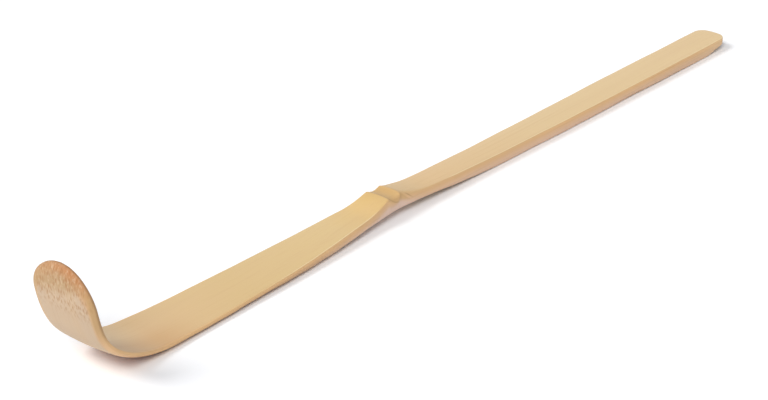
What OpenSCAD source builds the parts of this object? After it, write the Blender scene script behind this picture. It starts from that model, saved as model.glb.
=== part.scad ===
// A tea scoop, carved and bent by heat from one strip of bamboo, as it lies on a table.
// Places are measured along its back, from the end of the handle to the tip of the bowl.
// Heights are measured up from the table, and beyond the heel square to the bent back.
// Sizes are in millimetres, and turns in degrees.

/* [Handle] */
// Length from the end of the handle to the rear ridge of the node
handle_l = 102.3; // [85:0.5:130]
// Thickness of the handle
handle_t = 2.4; // [2:0.1:3.5]
// Width at the end of the handle
end_w = 6.5; // [5:0.1:9]
// Widest width of the handle
handle_w = 6.6; // [5:0.1:9]
// Distance of that width from the end
handle_wide_at = 38; // [25:1:50]
// Width at the neck, where the handle runs up to the node
neck_w = 5.3; // [4:0.1:8]
// Distance from the neck to the rear ridge
neck_l = 4; // [2:0.5:8]
// Radius of the two corners of the end, seen from above
corner_r = 1.8; // [0.5:0.1:2.2]
// Length of the slope that is cut under the end
end_slope_l = 6.5; // [3:0.5:12]
// Height of that slope at the end
end_slope_h = 1.1; // [0.3:0.1:1.3]
// Rise of the skin side between its edges, along the handle and the shaft
crown_h = 0.12; // [0:0.02:0.4]

/* [Node] */
// Distance between the two ridges of the node
ridge_gap = 3.3; // [2:0.1:6]
// Height of the skin side at the node, without the ridges
node_t = 3.2; // [2.6:0.1:4.5]
// Height of the ridges over it
ridge_h = 1.2; // [0.4:0.1:2]
// Depth of the groove between the ridges
groove_d = 0.4; // [0.1:0.05:1]
// Width at the ridges
node_w = 4.8; // [4:0.1:8]
// Length of the swell in front of the ridges
front_swell_l = 6.6; // [4:0.2:12]
// Length of the swell behind them
rear_swell_l = 8; // [4:0.2:12]
// Height of the skin side just behind the node
rear_t = 2.8; // [2.2:0.1:4]
// Distance of that height from the rear ridge
rear_l = 12; // [9:1:20]

/* [Waist under the node] */
// Height of the hollow that is carved under the node
waist_h = 1.2; // [0.3:0.1:1.6]
// Length of the hollow in front of its highest place
waist_front_l = 30; // [15:1:40]
// Length of the hollow behind it
waist_rear_l = 27; // [15:1:45]
// Distance of its highest place from the rear ridge
waist_set_back = 2; // [0:0.5:6]

/* [Shaft] */
// Length from the front ridge of the node to the heel
shaft_l = 46.5; // [35:0.5:70]
// Width just in front of the node
front_w = 6.1; // [4:0.1:9]
// Distance of that width from the front ridge
front_l = 5; // [3:0.5:9]
// Width halfway to the heel
shaft_w = 8.9; // [6:0.1:12]
// Thickness there
shaft_t = 1.8; // [1.4:0.1:3]
// Width at the heel
heel_w = 11; // [8:0.1:14]
// Thickness at the heel
heel_t = 1.2; // [1:0.05:2]

/* [Bend] */
// Radius of the back where it leaves the table
sole_r = 210; // [100:5:400]
// Turn there
sole_turn = 3; // [1:0.5:6]
// Radius of the back round the heel
heel_r = 21; // [15:0.5:40]
// Turn round the heel
heel_turn = 32; // [15:1:45]
// Radius of the back at the fold
fold_r = 11; // [8:0.5:25]
// Turn at the fold
fold_turn = 36; // [15:1:45]
// Width at the fold
fold_w = 12.4; // [9:0.1:15]
// Thickness at the fold
fold_t = 1.15; // [1:0.05:2]

/* [Bowl] */
// Length of the bowl from the fold to where its end starts to round
bowl_l = 4; // [2:0.1:10]
// Radius of the back along the bowl
bowl_r = 30; // [20:1:80]
// Widest width of the bowl
bowl_w = 13.1; // [10:0.1:16]
// Length of the round end
tip_l = 6.8; // [5:0.1:10]
// Thickness of the bowl
bowl_t = 1; // [0.9:0.05:1.6]
// Height of the tip's rim over the back
rim_t = 0.85; // [0.7:0.05:1.2]
// Depth of the bowl's inside between its edges
dish_h = 0.35; // [0:0.05:0.5]

/* [Bevel along the edges of the back] */
// Width of the bevel along the shaft and the bowl, seen from below
bevel_w = 1.05; // [0.5:0.05:1.5]
// Width along the handle
handle_bevel_w = 0.4; // [0.2:0.05:1]
// Height of the bevel along the handle
handle_bevel_h = 0.2; // [0.1:0.05:0.8]
// Height at the end of the handle
end_bevel_h = 0.25; // [0.1:0.05:0.6]
// Height where the knife has cut deeper, on the handle
cut_bevel_h = 0.6; // [0.3:0.05:1.2]
// Distance of that deeper cut from the end
cut_at = 35; // [28:1:50]
// Length over which the cut runs out, each way
cut_l = 12; // [8:1:16]
// Height at the node
node_bevel_h = 0.3; // [0.1:0.05:0.9]
// Height at the heel
heel_bevel_h = 0.6; // [0.3:0.05:0.9]
// Height at the fold and along the bowl
bowl_bevel_h = 0.5; // [0.2:0.05:0.6]
// Height at the tip
tip_bevel_h = 0.4; // [0.2:0.05:0.5]

/* [Hidden] */

// Steps along the strip: on the straight, at the node, round the bend, and in each rounded end;
// the last ones round the tip's rim, beyond the back's flat
long_step = 4;
node_step = 0.5;
bend_step = 1.2;
corner_steps = 5;
tip_steps = 10;
rim_steps = 6;
// Angle at which the round end stops, so that it closes on a small flat and not on a point
last_angle = 88;
// Points across the skin side, with its two edges
across = 7;
// Width over which the skin side has its full rise or hollow, which fades in the narrow tip
full_crown_w = bowl_w / 3;
// Least height of the sides, between the skin side and the bevel
least_side = 0.2;
// Least height of the bevel
least_bevel = 0.05;
// The back's flat never gets narrower than this share of the strip's width
least_flat = 0.4;

front_ridge = handle_l + ridge_gap;
node_middle = handle_l + ridge_gap / 2;
heel = front_ridge + shaft_l;
shaft_middle = (front_ridge + heel) / 2;

// The bent back is four arcs in a row: the sole, the heel, the fold and the bowl
radii = [sole_r, heel_r, fold_r, bowl_r];
bowl_turn = (bowl_l + tip_l) / bowl_r * 180 / PI;
turns = [sole_turn, heel_turn, fold_turn, bowl_turn];
function arc_start(i) = i == 0 ? heel : arc_start(i - 1) + radii[i - 1] * turns[i - 1] * PI / 180;
fold_middle = arc_start(2) + fold_r * fold_turn * PI / 360;
bowl_start = arc_start(3);
tip_start = bowl_start + bowl_l;
tip = tip_start + tip_l;

// A smooth curve through pairs of a place and a value
function slope(pairs, i) = i == 0 || i == len(pairs) - 1
    ? 0
    : (pairs[i + 1][1] - pairs[i - 1][1]) / (pairs[i + 1][0] - pairs[i - 1][0]);
function span_at(pairs, s, i = 0) =
    i == len(pairs) - 2 || s < pairs[i + 1][0] ? i : span_at(pairs, s, i + 1);
function on_span(pairs, i, s) =
    let (length = pairs[i + 1][0] - pairs[i][0])
    let (t = (s - pairs[i][0]) / length)
    (2 * t ^ 3 - 3 * t ^ 2 + 1) * pairs[i][1]
        + (t ^ 3 - 2 * t ^ 2 + t) * length * slope(pairs, i)
        + (3 * t ^ 2 - 2 * t ^ 3) * pairs[i + 1][1]
        + (t ^ 3 - t ^ 2) * length * slope(pairs, i + 1);
function between(low, value, high) = max(low, min(value, high));
function smooth(pairs, s) =
    let (place = between(pairs[0][0], s, pairs[len(pairs) - 1][0]))
    on_span(pairs, span_at(pairs, place), place);

// Width of the strip: rounded corners at the handle's end, half an ellipse at the bowl's
widths = [
    [0, end_w],
    [handle_wide_at, handle_w],
    [handle_l - neck_l, neck_w],
    [handle_l, node_w],
    [front_ridge + front_l, front_w],
    [shaft_middle, shaft_w],
    [heel, heel_w],
    [fold_middle, fold_w],
    [tip_start, bowl_w],
];
function corner_inset(s) =
    s < corner_r ? corner_r - sqrt(corner_r ^ 2 - (corner_r - s) ^ 2) : 0;
function half_ellipse(run, length) = sqrt(max(0, 1 - (run / length) ^ 2));
function half_w(s) = s < tip_start
    ? smooth(widths, s) / 2 - corner_inset(s)
    : bowl_w / 2 * half_ellipse(s - tip_start, tip_l);

// Height of the skin side's edges, with the two ridges of the node
tops = [
    [0, handle_t],
    [handle_l - waist_set_back - waist_rear_l, handle_t],
    [handle_l - rear_l, rear_t],
    [node_middle, node_t],
    [shaft_middle, shaft_t],
    [heel, heel_t],
    [fold_middle, fold_t],
    [tip_start, bowl_t],
    [tip, rim_t],
];
function swell(run, length) = ridge_h * (1 - min(1, run / length)) ^ 2;
function ridges(s) = s < handle_l ? swell(handle_l - s, rear_swell_l)
    : s > front_ridge ? swell(s - front_ridge, front_swell_l)
    : ridge_h - groove_d * sin(180 * (s - handle_l) / ridge_gap);
function top(s) = smooth(tops, s) + ridges(s);

// How far the skin side rises between its edges, and how far the bowl's inside sinks
crowns = [[0, crown_h], [heel, crown_h], [bowl_start, -dish_h], [tip, -dish_h]];
function crown(s, share) =
    smooth(crowns, s) * (1 - share ^ 2) * min(1, 2 * half_w(s) / full_crown_w);

// Height of the back's flat: the hollow under the node and the slopes under both ends
waist_top = handle_l - waist_set_back;
hollow = [[waist_top - waist_rear_l, 0], [waist_top, waist_h], [waist_top + waist_front_l, 0]];
flat_end = tip_l - bevel_w;
rim_angle = asin(flat_end / tip_l);
function flat_h(s) =
    smooth(hollow, s)
        + end_slope_h * max(0, 1 - s / end_slope_l)
        + tip_bevel_h * max(0, s - tip_start - flat_end) / bevel_w;

// Height of the bevel over the flat, and of the sides' lower edges
bevels = [
    [0, end_bevel_h],
    [cut_at - cut_l, end_bevel_h],
    [cut_at, cut_bevel_h],
    [cut_at + cut_l, handle_bevel_h],
    [handle_l - waist_rear_l, handle_bevel_h],
    [node_middle, node_bevel_h],
    [shaft_middle, heel_bevel_h],
    [heel, heel_bevel_h],
    [fold_middle, bowl_bevel_h],
    [tip_start, bowl_bevel_h],
    [tip, tip_bevel_h],
];
function tip_ramp(s) = 1 - between(0, (s - tip_start - flat_end) / bevel_w, 1);
function side_h(s) =
    min(flat_h(s) + max(least_bevel, smooth(bevels, s) * tip_ramp(s)), top(s) - least_side);

// Half the width of the back's flat
bevel_widths = [[handle_l - waist_rear_l, handle_bevel_w], [shaft_middle, bevel_w]];
function flat_w(s) = s < tip_start
    ? half_w(s) - smooth(bevel_widths, s)
    : (bowl_w / 2 - bevel_w) * half_ellipse(s - tip_start, flat_end);

// One cross-section, as pairs of a place across the strip and a height
function section(s) =
    let (w = half_w(s), flat = max(flat_w(s), least_flat * w))
    [
        [w, side_h(s)],
        [flat, flat_h(s)],
        [-flat, flat_h(s)],
        [-w, side_h(s)],
        for (k = [0:across - 1])
            let (share = 2 * k / (across - 1) - 1)
            [w * share, top(s) + crown(s, share)],
    ];

// A place on the back's line and the turn of the line there
function back(s, i = 0, at = [-heel, 0], turned = 0) =
    s <= heel
        ? [-s, 0, 0]
        : let (turn = min((s - arc_start(i)) / radii[i] * 180 / PI, turns[i]))
          let (next = at + radii[i] * [sin(turned) - sin(turned + turn), cos(turned) - cos(turned + turn)])
          i == len(radii) - 1 || s <= arc_start(i + 1)
              ? [next.x, next.y, turned + turn]
              : back(s, i + 1, next, turned + turn);

// The places of the cross-sections
function steps(from, to, step) =
    let (count = ceil((to - from) / step))
    [for (k = [0:count - 1]) from + (to - from) * k / count];
places = [
    for (k = [0:corner_steps - 1]) corner_r * (1 - cos(90 * k / corner_steps)),
    each steps(corner_r, handle_l - rear_swell_l, long_step),
    each steps(handle_l - rear_swell_l, handle_l, node_step),
    each steps(handle_l, front_ridge, node_step),
    each steps(front_ridge, front_ridge + front_swell_l, node_step),
    each steps(front_ridge + front_swell_l, heel, long_step),
    each steps(heel, tip_start, bend_step),
    for (k = [0:tip_steps - 1]) tip_start + flat_end * sin(90 * k / tip_steps),
    for (k = [0:rim_steps])
        tip_start + tip_l * sin(rim_angle + (last_angle - rim_angle) * k / rim_steps),
];

rings = [
    for (s = places)
        let (b = back(s))
        [for (q = section(s)) [b.x + q[1] * sin(b.z), q[0], b.y + q[1] * cos(b.z)]]
];
ring_size = len(rings[0]);
shell_points = [for (ring = rings) each ring];
shell_faces = [
    for (r = [0:len(rings) - 2], k = [0:ring_size - 1])
        let (a = r * ring_size + k)
        let (b = r * ring_size + (k + 1) % ring_size)
        each [[a, b + ring_size, b], [a, a + ring_size, b + ring_size]],
    [for (k = [0:ring_size - 1]) k],
    [for (k = [ring_size - 1:-1:0]) (len(rings) - 1) * ring_size + k],
];
// The bowl's furthest reach, from which the scoop is centred on the origin
reach = min([for (p = shell_points) p.x]);

// The scoop: one strip, with its bowl towards -X and its handle towards +X
module scoop() {
    color("burlywood")
        translate([-reach / 2, 0, 0])
            polyhedron(points = shell_points, faces = shell_faces, convexity = 6);
}

scoop();
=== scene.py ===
# %% [markdown]
# # A bamboo tea scoop
# This scoop lifts powdered tea out of its caddy. It is one slip of bamboo: split from the cane, bent over
# steam or a flame until its end stands up as a small bowl, and then carved with a knife. There is nothing
# to take apart, so the scene has one piece. What makes it look real is all in its edges, in the two ridges
# of the cane's node, and in how bamboo looks on its skin, along its cut sides and on its inner wood.
#
# The engineering model gives the size and the place. We load it first and note its box.

# %% Load the engineering model
import math

import bmesh
import bpy
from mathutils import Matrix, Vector


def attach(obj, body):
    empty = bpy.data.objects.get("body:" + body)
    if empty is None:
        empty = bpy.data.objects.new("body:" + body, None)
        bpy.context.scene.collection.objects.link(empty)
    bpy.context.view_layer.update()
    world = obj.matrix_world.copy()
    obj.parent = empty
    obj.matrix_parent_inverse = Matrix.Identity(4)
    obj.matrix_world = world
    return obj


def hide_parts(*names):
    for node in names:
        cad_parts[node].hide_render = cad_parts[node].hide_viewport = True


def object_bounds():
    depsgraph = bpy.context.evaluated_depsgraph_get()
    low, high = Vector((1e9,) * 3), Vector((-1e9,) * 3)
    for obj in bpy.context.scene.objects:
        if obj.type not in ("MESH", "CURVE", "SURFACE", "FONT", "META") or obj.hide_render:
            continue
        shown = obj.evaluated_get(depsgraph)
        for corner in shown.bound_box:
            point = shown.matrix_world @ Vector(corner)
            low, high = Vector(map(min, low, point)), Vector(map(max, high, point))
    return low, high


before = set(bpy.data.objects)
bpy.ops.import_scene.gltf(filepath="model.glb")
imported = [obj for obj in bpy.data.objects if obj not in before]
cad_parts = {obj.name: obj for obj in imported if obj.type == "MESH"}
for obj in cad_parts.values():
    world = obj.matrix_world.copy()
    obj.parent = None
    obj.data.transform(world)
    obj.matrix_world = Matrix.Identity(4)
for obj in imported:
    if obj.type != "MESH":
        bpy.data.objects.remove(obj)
cad_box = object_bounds()
print("engineering model:", sorted(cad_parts), [round(float(v) * 1000, 1) for v in cad_box[1]])

# %% [markdown]
# ## Looking at the scoop
# The photograph looks down the length of the scoop from the bowl's side, from about 25 degrees above the
# table, with a long lens, so the far handle is hardly smaller than the bowl. We aim at a point on the table
# beside the node, step back along the line of sight, and turn the camera to look along it. The focal length
# is 2500 pixels of a picture that is 768 wide. That is a lens of 117 mm on a sensor 36 mm wide, and it sees
# the whole scoop from 44 cm away.

# %% Camera
MM = 0.001
VIEW_TURN = 50.17  # degrees from the way across the strip to the line of sight, seen from above
VIEW_DROP = 25.48  # degrees that the line of sight falls
VIEW_DISTANCE = 438.8 * MM
AIM = Vector((-9.32, 3.83, 0)) * MM
FOCAL_PIXELS = 2500
PICTURE_PIXELS = 768
SENSOR = 36.0
LENS = FOCAL_PIXELS / PICTURE_PIXELS * SENSOR

turn = math.radians(VIEW_TURN)
drop = math.radians(VIEW_DROP)
sight = Vector((math.sin(turn) * math.cos(drop), math.cos(turn) * math.cos(drop), -math.sin(drop)))
camera = bpy.data.objects.new("camera", bpy.data.cameras.new("camera"))
camera.data.sensor_width = SENSOR
camera.data.lens = LENS
camera.data.clip_start = 10 * MM
camera.location = AIM - sight * VIEW_DISTANCE
camera.rotation_euler = sight.to_track_quat("-Z", "Y").to_euler()
bpy.context.scene.collection.objects.link(camera)
bpy.context.scene.camera = camera
print("camera at", [round(v, 3) for v in camera.location], "lens", round(LENS, 1))

# %% [markdown]
# ## The strip's sizes
# Everything about the scoop is measured along its back, from the end of the handle to the tip of the bowl, in
# millimetres. A size that changes along the strip is a short list of places and values. A smooth curve runs
# through them, with its slope at each place taken from the two neighbours, so a knife could have cut it.

# %% Sizes along the strip
HANDLE = 102.3  # from its end to the node's rear ridge
RIDGE_GAP = 3.3  # from the rear ridge to the front one
SHAFT = 46.5  # from the front ridge to the heel
BENDS = [(210.0, 3.0), (21.0, 32.0), (11.0, 36.0)]  # radius and degrees of the sole, the heel and the fold
BOWL_RADIUS = 30.0
BOWL = 4.0  # from the fold to where the end begins to round
TIP = 6.8  # the rounded end
NODE_REAR = HANDLE
NODE_FRONT = HANDLE + RIDGE_GAP
NODE_MIDDLE = (NODE_REAR + NODE_FRONT) / 2
HEEL = NODE_FRONT + SHAFT
SHAFT_MIDDLE = (NODE_FRONT + HEEL) / 2
BEND_STARTS = [HEEL]
for radius, angle in BENDS:
    BEND_STARTS.append(BEND_STARTS[-1] + radius * math.radians(angle))
FOLD_START = BEND_STARTS[2]
BOWL_START = BEND_STARTS[3]
FOLD_MIDDLE = (FOLD_START + BOWL_START) / 2
TIP_START = BOWL_START + BOWL
LENGTH = TIP_START + TIP
print("length along the back:", round(LENGTH, 1), "mm, bowl starts at", round(BOWL_START, 1), "mm")


# %% A smooth curve through places and values
def through(pairs, place):
    """The value at a place, on a smooth curve through pairs of a place and a value."""
    place = min(max(place, pairs[0][0]), pairs[-1][0])
    slopes = [0.0]
    for before, after in zip(pairs, pairs[2:]):
        slopes.append((after[1] - before[1]) / (after[0] - before[0]))
    slopes.append(0.0)
    k = max(i for i in range(len(pairs) - 1) if i == 0 or place >= pairs[i][0])
    span = pairs[k + 1][0] - pairs[k][0]
    t = (place - pairs[k][0]) / span
    return (
        (2 * t**3 - 3 * t**2 + 1) * pairs[k][1]
        + (t**3 - 2 * t**2 + t) * span * slopes[k]
        + (3 * t**2 - 2 * t**3) * pairs[k + 1][1]
        + (t**3 - t**2) * span * slopes[k + 1]
    )


print("halfway from 0 to 1:", through([(0, 0), (1, 1)], 0.5))

# %% [markdown]
# ## The carved outline
# Seen from above, the strip is nearly even along the handle, narrows at the node and widens towards the bowl,
# which ends in half an ellipse. Seen from the side, the skin carries two low ridges where a leaf sheath grew
# round the cane. Under them the maker has hollowed the back, so that the scoop stands on its handle and on
# its heel. The knife has also taken a bevel off both edges of the back, and a slope off the underside of the
# handle's end. We give each of these its own list, or a small function of the place along the strip.

# %% Widths and heights
WIDTHS = [(0, 6.5), (38, 6.6), (HANDLE - 4, 5.3), (HANDLE, 4.8), (NODE_FRONT + 5, 6.1), (SHAFT_MIDDLE, 8.9)]
BOWL_WIDTH = 13.45
WIDTHS += [(HEEL, 11.0), (FOLD_MIDDLE, 12.85), (TIP_START, BOWL_WIDTH)]
SKIN_HEIGHTS = [(0, 2.4), (HANDLE - 29, 2.4), (HANDLE - 12, 2.8), (NODE_MIDDLE, 3.2), (SHAFT_MIDDLE, 1.8)]
SKIN_HEIGHTS += [(HEEL, 1.2), (FOLD_MIDDLE, 1.15), (TIP_START, 1.0), (LENGTH, 0.85)]
CROWNS = [(0, 0.12), (HEEL, 0.12), (BOWL_START, -0.35), (LENGTH, -0.35)]
BACK_CROWNS = [(HEEL + 2, 0), (FOLD_START, 0.24), (TIP_START, 0.3), (LENGTH, 0.1)]
HOLLOW = [(HANDLE - 29, 0), (HANDLE - 2, 1.2), (HANDLE + 28, 0)]
BEVEL_HEIGHTS = [(0, 0.25), (23, 0.25), (35, 0.6), (47, 0.2), (HANDLE - 27, 0.2), (NODE_MIDDLE, 0.3)]
BEVEL_HEIGHTS += [(SHAFT_MIDDLE, 0.6), (HEEL, 0.6), (FOLD_MIDDLE, 0.5), (TIP_START, 0.5), (LENGTH, 0.4)]
BEVEL_WIDTHS = [(HANDLE - 27, 0.4), (SHAFT_MIDDLE, 1.05), (HEEL, 0.9), (FOLD_MIDDLE, 0.85), (TIP_START, 1.05)]
CORNER = 2.2  # radius of the handle's corners, seen from above
TIP_BEVEL = 1.05
RIM_BEVEL = 0.4  # how high the bevel rises at the very tip
FLAT_END = TIP - TIP_BEVEL
LEAST_FLAT = 0.4  # of the strip's width
RIDGE_HEIGHT = 1.2
GROOVE = 0.4  # depth of the groove between the ridges
REAR_RUN = 8  # the ridges run out into the skin over these lengths
FRONT_RUN = 6.6
END_SLOPE = 6.5  # length of the slope under the handle's end
END_SLOPE_HEIGHT = 1.1
print("the bowl is", BOWL_WIDTH, "mm wide")


# %% The outline at a place
def ridges(place):
    """Height of the node's two ridges over the skin, with the groove between them."""
    if place < NODE_REAR:
        return RIDGE_HEIGHT * (1 - min(1, (NODE_REAR - place) / REAR_RUN)) ** 2
    if place > NODE_FRONT:
        return RIDGE_HEIGHT * (1 - min(1, (place - NODE_FRONT) / FRONT_RUN)) ** 2
    return RIDGE_HEIGHT - GROOVE * math.sin(math.pi * (place - NODE_REAR) / RIDGE_GAP)


def half_ellipse(run, length):
    """How wide half an ellipse of that length still is after a run, as a share of its full width."""
    return math.sqrt(max(0.0, 1 - (run / length) ** 2))


def half_width(place):
    """Half the strip's width, with the handle's rounded corners and the round end of the bowl."""
    if place > TIP_START:
        return BOWL_WIDTH / 2 * half_ellipse(place - TIP_START, TIP)
    corner = CORNER - math.sqrt(CORNER**2 - (CORNER - place) ** 2) if place < CORNER else 0
    return through(WIDTHS, place) / 2 - corner


def back_height(place):
    """Height of the back's flat: the hollow under the node and the slopes under both ends."""
    return (
        through(HOLLOW, place)
        + END_SLOPE_HEIGHT * max(0, 1 - place / END_SLOPE)
        + RIM_BEVEL * max(0, place - TIP_START - FLAT_END) / TIP_BEVEL
    )


def flat_half_width(place):
    """Half the width of the back between its two bevels."""
    if place > TIP_START:
        run = (BOWL_WIDTH / 2 - TIP_BEVEL) * half_ellipse(place - TIP_START, FLAT_END)
    else:
        run = half_width(place) - through(BEVEL_WIDTHS, place)
    return max(run, LEAST_FLAT * half_width(place))


for name, place in (("handle's end", 0), ("node", NODE_MIDDLE), ("heel", HEEL), ("bowl", TIP_START)):
    print(f"{name}: {2 * half_width(place):.1f} mm wide, skin {through(SKIN_HEIGHTS, place):.2f} mm up")

# %% [markdown]
# ## The maker's hand
# A knife never leaves a ruler's edge. The edges of the skin wander by a twentieth of a millimetre, those of
# the bevels by two or three times as much, and the two sides don't match. Three sine waves of unrelated
# lengths, shifted for each edge, give such a wander, and it is the same each time that the script runs. It is
# too small to change a size, but highlights along the edges break up as they do on carved wood.

# %% The wander of an edge
WANDER_LENGTHS = (37.0, 15.3, 6.7)  # millimetres from wave to wave
WANDER_SHARES = (0.5, 0.3, 0.2)
WANDER_SHIFT = 2.4  # radians from one edge to the next


def wander(place, edge):
    """From -1 to 1: how an edge strays at a place. Each edge has its own number."""
    stray = 0.0
    for k, (long, share) in enumerate(zip(WANDER_LENGTHS, WANDER_SHARES)):
        stray += share * math.sin(2 * math.pi * place / long + WANDER_SHIFT * edge * (1 + k))
    return stray


print("one edge strays by", [round(wander(p, 1), 2) for p in range(0, 60, 10)])

# %% [markdown]
# ## One cut across the strip
# A cut across the bamboo shows six faces: the skin, two upright sides, two bevels that the knife took off the
# lower edges, and the back. A real edge is never sharp, so it catches a thin line of light. We round each
# corner with a short curve between two points on its faces. The curve is longer round the node's ring, which
# keeps some of the cane's own roundness and stands a little proud of both sides. It is longer on three edges
# at the bend, where the thin wood is rubbed soft, and where the bevels run out into the back of the bowl.

# %% How far each corner is eased
FACES = ("skin", "far side", "far bevel", "back", "near bevel", "near side")
EASES = [  # millimetres that a corner's curve reaches, and what the ring, the bend and the bowl add to it
    (0.2, 0.75, 0.25, 0.0),  # from the near side to the skin
    (0.2, 0.35, 0.25, 0.0),  # from the skin to the far side
    (0.15, 0.0, 0.0, 0.1),  # from the far side to its bevel
    (0.3, 0.0, 0.7, 1.5),  # from the far bevel to the back
    (0.3, 0.0, 0.0, 1.5),  # from the back to the near bevel
    (0.15, 0.0, 0.0, 0.1),  # from the near bevel to its side
]
BEHIND_RING = [(NODE_REAR - 9, 0), (NODE_REAR - 4, 0.4), (NODE_REAR, 1)]
AT_BEND = [(HEEL - 25, 0), (HEEL + 6, 1), (FOLD_MIDDLE, 1), (TIP_START, 0)]
IN_BOWL = [(TIP_START + 0.5, 0), (TIP_START + 4, 1)]


def on_ring(place, soft):
    """1 on the node's ring, 0 off it, with so many millimetres between."""
    inside = min(place - NODE_REAR + 0.5 * soft, NODE_FRONT + 0.5 * soft - place)
    return min(1, max(0, inside / soft))


def ease(place):
    """Millimetres that the curve of each of the six corners reaches along its faces."""
    ring = on_ring(place, 1.0)
    if place < NODE_REAR:
        ring = max(ring, through(BEHIND_RING, place))
    bend = through(AT_BEND, place)
    bowl = through(IN_BOWL, place)
    return [reach + a * ring + b * bend + c * bowl for reach, a, b, c in EASES]


print("near skin edge eased", round(ease(50)[0], 2), "mm, on the ring", round(ease(NODE_MIDDLE)[0], 2), "mm")

# %% The six corners of a cut
LEAST_SIDE = 0.2  # a side is never lower than this
LEAST_BEVEL = 0.05
LEAST_RISE = 0.03  # from the back to a side's lower corner, wherever that has strayed
EDGE_WANDER = 0.05
BEVEL_WANDER = 0.09
SKIN_WANDER = 0.02
FLAT_WANDER = 0.03  # as a share of the back's width
CALM_WIDTH = 2.5  # the wander dies out where the tip is narrower than twice this
END_EASE = 0.28  # millimetres over which both ends round off
RING_PROUD = (0.22, 0.08)  # millimetres that the ring stands out on the near and the far side


def end_rounding(place):
    """How far every face draws in close to an end of the strip."""
    run = min(place, LENGTH - place)
    return END_EASE - math.sqrt(END_EASE**2 - (END_EASE - run) ** 2) if run < END_EASE else 0


def corners(place):
    """The six corners of a cut, as places across the strip and heights over the back's line."""
    width = half_width(place)
    calm = min(1, width / CALM_WIDTH)
    draw_in = end_rounding(place) * calm
    width -= draw_in
    skin = through(SKIN_HEIGHTS, place) + ridges(place) - draw_in
    back = back_height(place) + draw_in
    left = 1 - min(1, max(0, (place - TIP_START - FLAT_END) / TIP_BEVEL))
    side = min(back + max(LEAST_BEVEL, through(BEVEL_HEIGHTS, place) * left), skin - LEAST_SIDE)
    flat = flat_half_width(place) - draw_in
    near, far = (width + EDGE_WANDER * calm * wander(place, k) for k in (2, 1))
    near_proud, far_proud = (proud * on_ring(place, 0.8) for proud in RING_PROUD)
    far_side, near_side = (side + BEVEL_WANDER * calm * left * wander(place, k) for k in (3, 4))
    far_flat, near_flat = (flat * (1 + FLAT_WANDER * wander(place, k)) for k in (5, 6))
    lift = SKIN_WANDER * calm * wander(place, 7)
    return [
        (-near - near_proud, skin + lift),
        (far + far_proud, skin - lift),
        (far, max(far_side, back + LEAST_RISE)),
        (far_flat, back),
        (-near_flat, back),
        (-near, max(near_side, back + LEAST_RISE)),
    ]


print("corners of a cut:", [tuple(round(v, 1) for v in corner) for corner in corners(50)])

# %% [markdown]
# Each cut becomes a ring of points, corner by corner and face by face. The skin also rises a little between
# its edges on the handle and sinks in the bowl, where the tea lies. The back is flat as far as the heel, and
# swells between its edges at the bend and in the bowl, as thin wood does when it is bent. With each point we
# note three facts that the bamboo's colour needs: how far it belongs to the skin, how far to the back, and
# how deep it lies under the skin.

# %% The rounded corners of a cut
POINTS_ON_FACE = (17, 3, 3, 11, 3, 3)
POINTS_ON_CORNER = 6
MOST_EASE = 0.42  # of a face, so that the curves at its two ends never meet


def eased(place, ring):
    """Where the curve of each corner starts on one face and where it ends on the next."""
    starts, ends = [], []
    for k, reach in enumerate(ease(place)):
        here = Vector(ring[k])
        last = Vector(ring[k - 1]) - here
        following = Vector(ring[(k + 1) % len(ring)]) - here
        starts.append(here + last.normalized() * min(reach, MOST_EASE * last.length))
        ends.append(here + following.normalized() * min(reach, MOST_EASE * following.length))
    return starts, ends


def flat_points(place, ring):
    """The points of a cut before it swells: spot, shares of skin and back, and whether it is on the skin."""
    starts, ends = eased(place, ring)
    points = []
    for k, face in enumerate(FACES):
        for j in range(POINTS_ON_CORNER):
            t = j / (POINTS_ON_CORNER - 1)
            spot = starts[k] * (1 - t) ** 2 + Vector(ring[k]) * (2 * t * (1 - t)) + ends[k] * t**2
            shares = [t * (face == name) + (1 - t) * (FACES[k - 1] == name) for name in ("skin", "back")]
            points.append((spot, shares, k < 2))
        for j in range(POINTS_ON_FACE[k]):
            t = (j + 1) / (POINTS_ON_FACE[k] + 1)
            spot = ends[k].lerp(starts[(k + 1) % len(ring)], t)
            points.append((spot, (face == "skin", face == "back"), face == "skin"))
    return points


print("points round a cut:", len(flat_points(50, corners(50))))


# %% The ring of points round a cut
def cut(place):
    """A ring of points: place across, height, share of skin, share of back, and depth under the skin."""
    ring = corners(place)
    narrow = min(1, 6 * half_width(place) / BOWL_WIDTH)  # less than 1 where only a third of the width is left
    crown = through(CROWNS, place) * narrow
    back_crown = through(BACK_CROWNS, place) * narrow
    half_skin = (ring[1][0] - ring[0][0]) / 2
    half_back = (ring[3][0] - ring[4][0]) / 2
    top = max(ring[0][1], ring[1][1])
    result = []
    for spot, (skin, back), above in flat_points(place, ring):
        if above:
            bulge = crown * max(0, 1 - (spot.x / half_skin) ** 2)
        else:
            bulge = -back_crown * max(0, 1 - (spot.x / half_back) ** 2)
        result.append((spot.x, spot.y + bulge, float(skin), float(back), max(0.0, top - spot.y)))
    return result


print("deepest point of a cut:", round(max(point[4] for point in cut(50)), 2), "mm under the skin")

# %% [markdown]
# ## Bending the strip
# The back lies straight along the table as far as the heel. Beyond it the strip was bent over heat, more
# and more tightly, until the bowl stands up. That is a row of arcs, each going on where the last one stopped.
# A place and a height on the straight strip become a point on the bent one by walking along those arcs.

# %% From the straight strip to the bent one
ARCS = BENDS + [(BOWL_RADIUS, 90.0)]
HANDLE_END = cad_box[1][0] / MM


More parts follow.
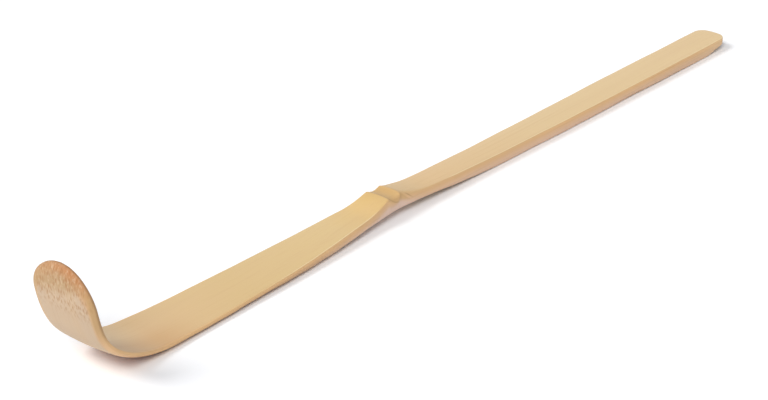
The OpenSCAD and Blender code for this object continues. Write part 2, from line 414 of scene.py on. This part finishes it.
def bent(place, height):
    """Where a point of the straight strip goes: along the table, and up from it, in millimetres."""
    along, up, turned = -min(place, HEEL), 0.0, 0.0
    for (radius, angle), start in zip(ARCS, BEND_STARTS):
        angle = min(math.radians(angle), max(0.0, (place - start) / radius))
        along += radius * (math.sin(turned) - math.sin(turned + angle))
        up += radius * (math.cos(turned) - math.cos(turned + angle))
        turned += angle
    return HANDLE_END + along + height * math.sin(turned), up + height * math.cos(turned)


print("the tip stands", round(bent(LENGTH, 0)[1], 1), "mm over the table")

# %% [markdown]
# ## The mesh
# We lay cuts along the strip, close together where the form is small: at the node, round the bend and in the
# two rounded ends. Joining each cut to the next with quads gives a long tube, and a face across each end
# closes it. Every point keeps its place on the straight strip, so that the grain follows the bend.

# %% Where the cuts lie
END_CUTS = 5
CORNER_CUTS = 14
TIP_CUTS = 20
RIM_CUTS = 18
LAST_ANGLE = math.radians(88.6)  # the last cut is this far round the tip's ellipse
STRETCHES = [  # where a stretch starts and ends, and the most from cut to cut
    (CORNER, NODE_REAR - 9, 0.9),
    (NODE_REAR - 9, NODE_REAR - 0.5, 0.2),
    (NODE_REAR - 0.5, NODE_FRONT + 0.5, 0.08),
    (NODE_FRONT + 0.5, NODE_FRONT + 8, 0.2),
    (NODE_FRONT + 8, HEEL, 0.9),
    (HEEL, TIP_START, 0.3),
]
places = [END_EASE * (1 - math.cos(math.pi / 2 * k / END_CUTS)) for k in range(END_CUTS)]
round_corner = [CORNER * (1 - math.cos(math.pi / 2 * k / CORNER_CUTS)) for k in range(1, CORNER_CUTS)]
places += [place for place in round_corner if place > END_EASE]
for start, end, step in STRETCHES:
    count = math.ceil((end - start) / step)
    places += [start + (end - start) * k / count for k in range(count)]
places += [TIP_START + FLAT_END * math.sin(math.pi / 2 * k / TIP_CUTS) for k in range(TIP_CUTS)]
rim_angle = math.asin(FLAT_END / TIP)
for k in range(RIM_CUTS + 1):
    places.append(TIP_START + TIP * math.sin(rim_angle + (LAST_ANGLE - rim_angle) * k / RIM_CUTS))
print(len(places), "cuts")

# %% The points of the scoop
FACTS = ("skin", "back", "depth")
bm = bmesh.new()
strip_layer = bm.verts.layers.float_vector.new("strip")
fact_layers = [bm.verts.layers.float.new(name) for name in FACTS]
rings = []
for place in places:
    ring = []
    for across, height, skin, back, depth in cut(place):
        along, up = bent(place, height)
        point = bm.verts.new(Vector((along, across, up)) * MM)
        point[strip_layer] = Vector((place, across, height)) * MM
        for layer, fact in zip(fact_layers, (skin, back, depth * MM)):
            point[layer] = fact
        ring.append(point)
    rings.append(ring)
print(len(bm.verts), "points")

# %% The faces of the scoop
for last, following in zip(rings, rings[1:]):
    for k in range(len(last)):
        beside = (k + 1) % len(last)
        bm.faces.new((last[k], last[beside], following[beside], following[k]))
bm.faces.new(rings[0][::-1])
bm.faces.new(rings[-1])
bmesh.ops.recalc_face_normals(bm, faces=bm.faces)
for face in bm.faces:
    face.smooth = len(face.verts) == 4
mesh = bpy.data.meshes.new("tea_scoop")
bm.to_mesh(mesh)
bm.free()
scoop = bpy.data.objects.new("tea_scoop", mesh)
bpy.context.scene.collection.objects.link(scoop)
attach(scoop, "root")
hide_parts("scoop")
print("scoop:", len(mesh.vertices), "points,", len(mesh.polygons), "faces")

# %% [markdown]
# ## Colours and nodes
# Colours are easiest to read off a picture as hex codes, which are in sRGB. Blender's shaders count in linear
# light, so one function turns a code into linear values. A second small function adds a shader node, sets it
# up, feeds its inputs and hands back one of its outputs, so a material reads like a list of steps.

# %% Colour and node helpers
def colour(code):
    """A hex code such as #E0C396, turned from sRGB to linear light."""
    values = [int(code[k : k + 2], 16) / 255 for k in (1, 3, 5)]
    return tuple(v / 12.92 if v <= 0.04045 else ((v + 0.055) / 1.055) ** 2.4 for v in values) + (1.0,)


def node(tree, kind, feeds=(), out=0, **settings):
    """Adds a shader node. feeds is a list of its inputs in order, or a dictionary by name or number."""
    new = tree.nodes.new("ShaderNode" + kind)
    for name, value in settings.items():
        setattr(new, name, value)
    for name, value in feeds.items() if isinstance(feeds, dict) else enumerate(feeds):
        if isinstance(value, bpy.types.NodeSocket):
            tree.links.new(value, new.inputs[name])
        else:
            new.inputs[name].default_value = value
    return new.outputs[out] if new.outputs else None


SOFT = {"interpolation_type": "SMOOTHSTEP"}  # a Map Range that starts and stops gently
BLEND = {"out": 2, "data_type": "RGBA"}  # a Mix of two colours
print("skin colour in linear light:", [round(v, 3) for v in colour("#E0C396")[:3]])

# %% [markdown]
# ## Bamboo, carved and polished
# Bamboo is a grass. Its wall is a soft, pale ground with bundles of hard fibres in it, which run the length
# of the cane. They lie close together under the skin, so that side is smooth, a little yellower and faintly
# shiny. Towards the inside they are far apart. The cut sides show them as long fine streaks, close and tan
# near the skin, sparse in pinkish wood below it. Where the knife crosses them at a slant, as on the back of
# the bowl, each shows as a short dash.
#
# Every pattern is drawn on the straight strip, from the place that we kept at each point, and so follows the
# bend.

# %% Material: the facts kept at each point
bamboo = bpy.data.materials.new("carved_bamboo")
bamboo.use_nodes = True
tree = bamboo.node_tree
tree.nodes.clear()
strip = node(tree, "Attribute", attribute_name="strip", out="Vector")
skin, back, depth = (node(tree, "Attribute", attribute_name=name, out="Fac") for name in FACTS)
along, across = node(tree, "SeparateXYZ", [strip]).node.outputs[:2]
not_skin = node(tree, "Math", [1.0, skin], operation="SUBTRACT")
not_back = node(tree, "Math", [1.0, back], operation="SUBTRACT")
print("facts:", len(tree.nodes), "nodes")

# %% [markdown]
# Fibre bundles are about 0.3 mm wide and run for many centimetres. Right under the skin they are finer, but
# that wouldn't show in the picture, so they are drawn just as wide there. A noise is stretched into streaks
# by dividing each direction by the size that a streak has there, in metres. A second, broad one stands for
# the slow changes of tone along a cane. Two short ones are for the bowl, where the bundles are cut through.

# %% Material: grain
def streaks(long, wide, detail, shift=0.0):
    """A pattern of streaks that are so many millimetres long and wide."""
    sizes = (1 / (long * MM), 1 / (wide * MM), 1 / (wide * MM))
    spread = node(tree, "Mapping", {"Vector": strip, "Scale": sizes, "Location": (shift, shift, shift)})
    return node(tree, "TexNoise", {"Vector": spread, "Scale": 1.0, "Detail": detail, "Roughness": 0.55})


fibres = streaks(long=26, wide=0.3, detail=3)
drift = streaks(long=38, wide=3.4, detail=1, shift=7)
specks = streaks(long=0.8, wide=0.34, detail=1, shift=11)
flecks = streaks(long=0.75, wide=0.3, detail=1, shift=23)
print("grain:", len(tree.nodes), "nodes")

# %% [markdown]
# The skin's colour changes slowly along the strip: pale on the handle, tan on the node's ring, golden just in
# front of it and brightest 4 mm on, and palest past the heel. A colour ramp along the length holds that as a
# list of places. On the cut sides the ring's fibres lean towards the handle. A little of the slow noise keeps
# the borders from being straight.

# %% Material: the skin along the strip
SKIN_COLOURS = [
    (0, "#E3C593"),
    (60, "#E2C492"),
    (92, "#E1BE8C"),
    (NODE_REAR - 0.6, "#DCBA84"),
    (NODE_REAR + 0.5, "#CAA161"),
    (NODE_FRONT - 0.4, "#CCA568"),
    (NODE_FRONT + 0.1, "#CFAB6C"),
    (NODE_FRONT + 1.5, "#D8B471"),
    (NODE_FRONT + 4, "#E0BC7A"),
    (NODE_FRONT + 12, "#DDBF87"),
    (HEEL - 10, "#DABA82"),
    (HEEL + 10, "#DCB988"),
    (HEEL + 22, "#F0D4AA"),
    (LENGTH, "#ECCB9A"),
]
LEAN = 1.85  # millimetres towards the handle for each millimetre down
RAGGED = 0.8  # millimetres that a noise of 1 moves a border, and a noise of a half is the middle
leaning = node(tree, "Math", [depth, LEAN, along], operation="MULTIPLY_ADD")
ragged = node(tree, "Math", [drift, RAGGED * MM, leaning], operation="MULTIPLY_ADD")
share = node(tree, "Math", [ragged, (LENGTH + RAGGED / 2) * MM], operation="DIVIDE")
ramp = node(tree, "ValToRGB", [share])
stops = ramp.node.color_ramp.elements
for place, code in SKIN_COLOURS[1:-1]:
    stops.new(place / LENGTH)
for stop, (place, code) in zip(stops, SKIN_COLOURS):
    stop.position = place / LENGTH
    stop.color = colour(code)
print("colours along the skin:", len(stops))

# %% [markdown]
# The cut sides and the back have their own colours. How deep a point lies under the skin mixes the sides from
# tan to pinkish, and they are lighter and fresher at the handle's end. The inner wood on the back is lighter
# by the fold than in the bowl.

# %% Material: skin, sides and back
UNDER_SKIN = colour("#F6C68C")
DEEPER = colour("#F6CFB0")
FRESH_CUT = colour("#FFD9A4")
INNER = colour("#CEB497")
INNER_BY_FOLD = colour("#DDC2A2")
deep = node(tree, "MapRange", {"Value": depth, "From Min": 0.3 * MM, "From Max": 2.1 * MM}, **SOFT)
sides = node(tree, "Mix", {0: deep, 6: UNDER_SKIN, 7: DEEPER}, **BLEND)
by_end = {"Value": along, "From Min": 16 * MM, "From Max": 2 * MM, "To Max": 0.5}
by_end = node(tree, "MapRange", by_end, **SOFT)
sides = node(tree, "Mix", {0: by_end, 6: sides, 7: FRESH_CUT}, **BLEND)
by_fold = {"Value": along, "From Min": TIP_START * MM, "From Max": FOLD_START * MM}
by_fold = node(tree, "MapRange", by_fold, **SOFT)
inner = node(tree, "Mix", {0: by_fold, 6: INNER, 7: INNER_BY_FOLD}, **BLEND)
cuts = node(tree, "Mix", {0: back, 6: sides, 7: inner}, **BLEND)
wood = node(tree, "Mix", {0: skin, 6: cuts, 7: ramp}, **BLEND)
print("skin, sides and back:", len(tree.nodes), "nodes")

# %% [markdown]
# Everything else is a tint over this wood. We keep a list of them, each with its colour and with the shares
# whose product says how strongly it lies there, and lay them over the wood in that order at the end. The
# first two are the cane's slow changes of tone and its fibres, which show less on the skin than on the cuts.

# %% Material: tone and fibres
tints = {}
slow = node(tree, "MapRange", {"Value": drift, "From Min": 0.3, "From Max": 0.75, "To Max": 0.25}, **SOFT)
tints["slow change"] = colour("#D9B688"), [slow]
most = node(tree, "MapRange", {"Value": skin, "To Min": 0.22, "To Max": 0.1})
fine = node(tree, "MapRange", {"Value": fibres, "From Min": 0.5, "From Max": 0.75, "To Max": most}, **SOFT)
tints["fibres"] = colour("#B98A5C"), [fine]
print("tints so far:", list(tints))

# %% [markdown]
# ## The node's marks
# A leaf sheath was joined to the cane at the node. The ring that it left is tan down the cut sides too, for
# nearly two millimetres. Its scar is a brown line just behind the front ridge, faint on the skin and clearer
# on the sides. A second short stroke lies behind the rear ridge, on the sides alone. All of them lean towards
# the handle and fade out one or two millimetres down. On the back, the wall that once closed the hollow cane
# shows as a faint brown band.

# %% Material: the ring and its scars
def away_from(place, value, none, full, most=1.0):
    """0 at `none` millimetres away from a place, `most` at `full` millimetres, and gentle in between."""
    off = node(tree, "Math", [value, place * MM], operation="SUBTRACT")
    off = node(tree, "Math", [off], operation="ABSOLUTE")
    limits = {"Value": off, "From Min": none * MM, "From Max": full * MM, "To Max": most}
    return node(tree, "MapRange", limits, **SOFT)


def stroke(place, half, deepest, least):
    """The shares of a soft line across the sides, down to a depth, and at least so strong on the skin."""
    start = {"Value": depth, "From Min": 0.05 * MM, "From Max": 0.4 * MM, "To Min": least}
    start = node(tree, "MapRange", start, **SOFT)
    end = {"Value": depth, "From Min": deepest * MM, "From Max": (deepest - 0.9) * MM}
    end = node(tree, "MapRange", end, **SOFT)
    return [start, end, away_from(place, leaning, none=half, full=0.1 * half)]


on_sides = away_from(NODE_MIDDLE, leaning, none=1.9, full=1.5, most=0.4)
shallow = node(tree, "MapRange", {"Value": depth, "From Min": 1.9 * MM, "From Max": 1.0 * MM}, **SOFT)
tints["ring on the sides"] = colour("#CFA562"), [on_sides, shallow, not_skin]
front_scar = stroke(NODE_FRONT - 0.35, half=0.4, deepest=1.8, least=0.6)
tints["front scar"] = colour("#8F5F30"), front_scar + [0.2]
rear_scar = stroke(NODE_REAR - 1.2, half=0.45, deepest=1.3, least=0.0)
tints["rear scar"] = colour("#8F5F30"), rear_scar + [0.38]
old_wall = away_from(NODE_MIDDLE + RAGGED / 2, ragged, none=2.4, full=1.2, most=0.35)
tints["old wall"] = colour("#B88650"), [old_wall, back]
print("tints so far:", list(tints))

# %% [markdown]
# ## Heat and painted shade
# The back of the bend was nearest to the heat, so the sole is toasted brown from just before the heel to the
# fold. The near half of the bend's skin carries a painted shadow of the bowl, in a warm brown. Along the
# shaft the cut sides are painted darker low down, as shade. Beside the node the cut goes deepest into the
# cane, and shows the pale pinkish wood next to its hollow.

# %% Material: the toasted sole and the painted shadow on the bend
by_heel = {"Value": along, "From Min": (HEEL - 14) * MM, "From Max": HEEL * MM}
by_heel = node(tree, "MapRange", by_heel, **SOFT)
before_fold = {"Value": along, "From Min": FOLD_START * MM, "From Max": (FOLD_START - 5) * MM, "To Max": 0.85}
before_fold = node(tree, "MapRange", before_fold, **SOFT)
tints["toasted sole"] = colour("#B4682E"), [by_heel, before_fold, back]
# Painted shade: the bowl's shadow on the near half of the bend's skin, laid on as a warm brown.
shadow_along_bend = {"Value": along, "From Min": HEEL * MM, "From Max": (HEEL + 12) * MM}
shadow_along_bend = node(tree, "MapRange", shadow_along_bend, **SOFT)
shaded_near_half = {"Value": across, "From Min": 2 * MM, "From Max": -4 * MM, "To Max": 0.45}
shaded_near_half = node(tree, "MapRange", shaded_near_half, **SOFT)
tints["warmed bend"] = colour("#C48E54"), [shadow_along_bend, shaded_near_half, skin]
print("tints so far:", list(tints))

# %% Material: painted shade on the lower sides
# Painted shade: along the shaft the cut sides get darker the deeper they lie under the skin.
lower_side_shade = {"Value": depth, "From Min": 0.2 * MM, "From Max": 1.1 * MM, "To Max": 0.58}
lower_side_shade = node(tree, "MapRange", lower_side_shade, **SOFT)
shade_past_node = {"Value": along, "From Min": (NODE_FRONT + 8) * MM, "From Max": (NODE_FRONT + 38) * MM}
shade_past_node = node(tree, "MapRange", shade_past_node, **SOFT)
shade_before_bend = {"Value": along, "From Min": (HEEL + 12) * MM, "From Max": (HEEL + 3) * MM}
shade_before_bend = node(tree, "MapRange", shade_before_bend, **SOFT)
tints["dark lower sides"] = colour("#9C7860"), [lower_side_shade, shade_past_node, shade_before_bend, not_skin]
lowest = node(tree, "MapRange", {"Value": depth, "From Min": 1.1 * MM, "From Max": 2.0 * MM}, **SOFT)
beside_node = away_from(NODE_FRONT + 1, along, none=12, full=4, most=0.85)
tints["wood by the hollow"] = colour("#F6D5C1"), [lowest, beside_node, not_skin]
print("tints so far:", list(tints))

# %% [markdown]
# ## The back of the bowl
# Heat browned the rim where it was held over the fire. The distance from the rim is easy in the rounded end:
# half an ellipse is a circle once both directions are divided by their own half-size, and there a plain
# length tells how near the rim is. Two of the noises make the brown's border ragged. It grows stronger up
# the bowl and towards the near side.

# %% Material: place on the bowl
past = node(tree, "Math", [along, TIP_START * MM], operation="SUBTRACT")
up_share = node(tree, "Math", [past, TIP * MM], operation="DIVIDE")
up_only = node(tree, "Math", [up_share, 0.0], operation="MAXIMUM")
wide_share = node(tree, "Math", [across, BOWL_WIDTH / 2 * MM], operation="DIVIDE")
spot = node(tree, "CombineXYZ", [up_only, wide_share])
from_middle = node(tree, "VectorMath", [spot], out="Value", operation="LENGTH")
wavy = node(tree, "Math", [specks, 0.14, from_middle], operation="MULTIPLY_ADD")
wavy = node(tree, "Math", [drift, 0.16, wavy], operation="MULTIPLY_ADD")
near_rim = node(tree, "MapRange", {"Value": wavy, "From Min": 0.72, "From Max": 1.15}, **SOFT)
up_bowl = node(tree, "MapRange", {"Value": up_share, "From Min": -0.22, "From Max": 0.52}, **SOFT)
near_side = {"Value": wide_share, "From Min": 0.9, "From Max": -0.4, "To Min": 0.32}
near_side = node(tree, "MapRange", near_side, **SOFT)
hotter = node(tree, "MapRange", {"Value": up_share, "From Min": 0.5, "To Min": 0.8, "To Max": 0.95}, **SOFT)
print("place on the bowl:", len(tree.nodes), "nodes")

# %% [markdown]
# On the back of the bowl the knife crosses the fibre bundles, and their cut ends make a pattern of short
# dashes. A Voronoi texture gives one dash to each cell. The cells are 0.45 mm wide, which is how close the
# bundles lie, and three times as long, because the cut is a slanting one. Smaller flecks and pale specks lie
# between them. The rounded end has such open wood on its bevels and its side too.

# %% Material: where the bundles are cut through
CELL_LONG = 1.35
CELL_WIDE = 0.45
rounded = node(tree, "MapRange", {"Value": up_share, "From Min": -0.3, "From Max": 0.25}, **SOFT)
open_wood = node(tree, "Math", [back, rounded], operation="MAXIMUM")
open_wood = node(tree, "Math", [open_wood, not_skin], operation="MULTIPLY")
wavy_up = node(tree, "Math", [wide_share, -0.12, up_share], operation="MULTIPLY_ADD")
crossed = {"Value": wavy_up, "From Min": -0.38, "From Max": 0.15, "To Min": 0.03}
crossed = node(tree, "MapRange", crossed, **SOFT)
crossed = node(tree, "Math", [crossed, open_wood], operation="MULTIPLY")
cells = (1 / (CELL_LONG * MM), 1 / (CELL_WIDE * MM), 1.0)
cells = node(tree, "Mapping", {"Vector": strip, "Scale": cells})
cell = node(tree, "TexVoronoi", {"Vector": cells, "Scale": 1.0}, voronoi_dimensions="2D")
dash = node(tree, "MapRange", {"Value": cell, "From Min": 0.4, "From Max": 0.12}, **SOFT)
dash = node(tree, "Math", [dash, crossed], operation="MULTIPLY")
fleck = node(tree, "MapRange", {"Value": flecks, "From Min": 0.47, "From Max": 0.36, "To Max": 0.22}, **SOFT)
speck = node(tree, "MapRange", {"Value": specks, "From Min": 0.52, "From Max": 0.7, "To Max": 0.32}, **SOFT)
print("cut bundles:", len(tree.nodes), "nodes")

# %% Material: scorch and dashes
higher = node(tree, "Math", [wide_share, 0.2, up_share], operation="MULTIPLY_ADD")
ground = {"Value": higher, "From Min": 0.15, "From Max": 0.52, "To Max": 0.95}
ground = node(tree, "MapRange", ground, **SOFT)
tints["ground of the tip"] = colour("#BC9A70"), [ground, open_wood]
tints["scorch"] = colour("#BA7E4E"), [near_rim, up_bowl, near_side, hotter]
tints["flecks"] = colour("#B4793F"), [fleck, crossed]
tints["dashes"] = colour("#A46C38"), [dash, 0.5]
tints["pale specks"] = colour("#E4CCAA"), [speck, crossed]
print("tints so far:", list(tints))

# %% [markdown]
# ## The bowl's side and the painted edge light
# The bowl is only a millimetre thick, so its side is a narrow band, a little browner than the back. The
# dense wood right under the skin shows in it as a thin dark edge. Along the handle and the shaft the skin's
# own edges carry a painted highlight on the near one and painted shade on the far one.

# %% Material: the bowl's side
past_fold = {"Value": along, "From Min": (FOLD_START + 2) * MM, "From Max": (FOLD_START + 9) * MM}
past_fold = node(tree, "MapRange", past_fold, **SOFT)
tip_side = {"Value": along, "From Min": (TIP_START + 5) * MM, "From Max": (TIP_START + 2) * MM}
tip_side = node(tree, "MapRange", {**tip_side, "To Max": 0.8}, **SOFT)
tints["bowl's side"] = colour("#BF9A69"), [past_fold, tip_side, not_back, not_skin]
dense = {"Value": depth, "From Min": 0.65 * MM, "From Max": 0.25 * MM, "To Max": 0.6}
dense = node(tree, "MapRange", dense, **SOFT)
on_bowl = {"Value": along, "From Min": (FOLD_START + 3) * MM, "From Max": (BOWL_START + 2) * MM}
on_bowl = node(tree, "MapRange", on_bowl, **SOFT)
tints["dark edge"] = colour("#A07850"), [dense, on_bowl, not_skin]
print("tints so far:", list(tints))

# %% Material: painted highlight and shade on the skin's edges
edge = node(tree, "MapRange", {"Value": skin, "From Min": 0.35, "From Max": 0.7, "To Max": 0.7}, **SOFT)
off_flat = node(tree, "Math", [skin, 0.985], operation="LESS_THAN")
clear_of_node = away_from(NODE_REAR - 3, along, none=8, full=12)
before_heel = {"Value": along, "From Min": (HEEL - 8) * MM, "From Max": (HEEL - 26) * MM}
before_heel = node(tree, "MapRange", before_heel, **SOFT)
near_edge = node(tree, "Math", [across, 0.0], operation="LESS_THAN")
# Painted highlight along the skin's near edge and painted shade along its far edge.
edge_light_and_shade = node(tree, "Mix", {0: near_edge, 6: colour("#C4A77C"), 7: colour("#F8DFAF")}, **BLEND)
tints["worn edge"] = edge_light_and_shade, [edge, off_flat, clear_of_node, before_heel]
print("tints:", list(tints))

# %% Material: lay the tints over the wood
for tint, shares in tints.values():
    share = shares[0]
    for other in shares[1:]:
        share = node(tree, "Math", [share, other], operation="MULTIPLY")
    wood = node(tree, "Mix", {0: share, 6: wood, 7: tint}, **BLEND)
print(len(tints), "tints laid,", len(tree.nodes), "nodes")

# %% [markdown]
# ## Shine and surface
# Bamboo is finished with a fine abrasive and the oil of the hand. The skin side is satin, at a roughness of
# about 0.45, and the open grain of the cuts is duller. Its index of refraction is that of most wood. The
# fibres stand a hundredth of a millimetre or two proud, and the dashes on the bowl are sunk about as little.

# %% Material: shine and surface
SATIN = 0.42
DULL = 0.56
RELIEF = 0.05  # millimetres
dull = node(tree, "MapRange", {"Value": skin, "To Min": DULL, "To Max": SATIN})
rough = node(tree, "Math", [fibres, 0.08, dull], operation="MULTIPLY_ADD")
ridged = node(tree, "Math", [fibres, 0.3], operation="MULTIPLY")
relief = node(tree, "Math", [dash, -0.6, ridged], operation="MULTIPLY_ADD")
bump = node(tree, "Bump", {"Height": relief, "Strength": 0.5, "Distance": RELIEF * MM})
finish = {"Base Color": wood, "Roughness": rough, "IOR": 1.5, "Normal": bump}
surface = node(tree, "BsdfPrincipled", finish)
node(tree, "OutputMaterial", [surface])
mesh.materials.append(bamboo)
print("bamboo has", len(tree.nodes), "nodes")

# %% [markdown]
# ## Table
# The scoop lies on a table with matt white paint, which has no shine at all and shows only the shadow. One
# matt shader takes in all the light. A second one is added to it only for what the camera sees, so that the
# table is white wherever nothing shades it, the shadow stays, and no more light bounces onto the scoop.

# %% Table
HALF_TABLE = 2.0
table = bpy.data.objects.new("table", bpy.data.meshes.new("table"))
sheet = bmesh.new()
outline = [(-1, -1), (1, -1), (1, 1), (-1, 1)]
sheet.faces.new([sheet.verts.new((x * HALF_TABLE, y * HALF_TABLE, 0)) for x, y in outline])
sheet.to_mesh(table.data)
sheet.free()
bpy.context.scene.collection.objects.link(table)
print("table", 2 * HALF_TABLE, "m wide")


# %% Material: matt white paint
def seen(tree):
    """1 for rays that come straight from the camera or off a shiny or clear surface, else 0."""
    rays = node(tree, "LightPath").node.outputs
    direct = node(tree, "Math", [rays["Is Camera Ray"], rays["Is Glossy Ray"]], operation="MAXIMUM")
    return node(tree, "Math", [direct, rays["Is Transmission Ray"]], operation="MAXIMUM")


paint = bpy.data.materials.new("matt_white_paint")
paint.use_nodes = True
floor = paint.node_tree
floor.nodes.clear()
matt = node(floor, "BsdfDiffuse", {"Color": colour("#E7E7E7")})
extra = node(floor, "BsdfDiffuse", {"Color": colour("#999999")})
bright = node(floor, "AddShader", [matt, extra])
chosen = node(floor, "MixShader", [seen(floor), matt, bright])
node(floor, "OutputMaterial", [chosen])
table.data.materials.append(paint)
print("paint has", len(floor.nodes), "nodes")

# %% [markdown]
# ## Light
# The light is that of a pale room with two broad lamps. The main one stands on the left of the picture, on
# the far side of the scoop, so its shadows fall to the right, along the scoop's near side. The other stands
# behind the camera, a little to its left, so its shadows fall away from us and mostly hide behind the scoop.
# Both are six metres off, so that the table is lit evenly in every view. A lamp's power is worked out from
# the share of light that it should give on the table: a flat lamp of so many watts at a distance d lights a
# white table below it with watts / (pi * d) squared, and less where the light comes in at a slant.

# %% The room
world = bpy.data.worlds.new("pale_room")
bpy.context.scene.world = world
world.use_nodes = True
room = world.node_tree
room.nodes.clear()
walls = node(room, "Background", {"Color": colour("#F5F8FF"), "Strength": 0.4})
backdrop = node(room, "Background", {"Color": colour("#FFFFFF"), "Strength": 1.0})
chosen = node(room, "MixShader", [seen(room), walls, backdrop])
node(room, "OutputWorld", [chosen])
print("room has", len(room.nodes), "nodes")

# %% The lamps
LAMPS = {  # way to the lamp, its share of the light on the table, its width in metres
    "main_lamp": ((-0.56, 0.43, 0.71), 0.35, 2.6),
    "front_lamp": ((-0.68, -0.31, 0.66), 0.29, 3.2),
}
LAMP_DISTANCE = 6.0
for name, (way, light_share, lamp_width) in LAMPS.items():
    lamp = bpy.data.objects.new(name, bpy.data.lights.new(name, "AREA"))
    lamp.data.shape = "DISK"
    lamp.data.size = lamp_width
    way = Vector(way).normalized()
    lamp.data.energy = light_share * (math.pi * LAMP_DISTANCE) ** 2 / way.z
    lamp.location = way * LAMP_DISTANCE
    lamp.rotation_euler = way.to_track_quat("Z", "Y").to_euler()
    bpy.context.scene.collection.objects.link(lamp)
    print(name, round(lamp.data.energy, 1), "W")

# %% [markdown]
# ## Picture colour
# The last cell sets the picture's colour handling to plain sRGB.

# %% Finish
bpy.context.scene.view_settings.view_transform = "Standard"
bpy.context.view_layer.update()
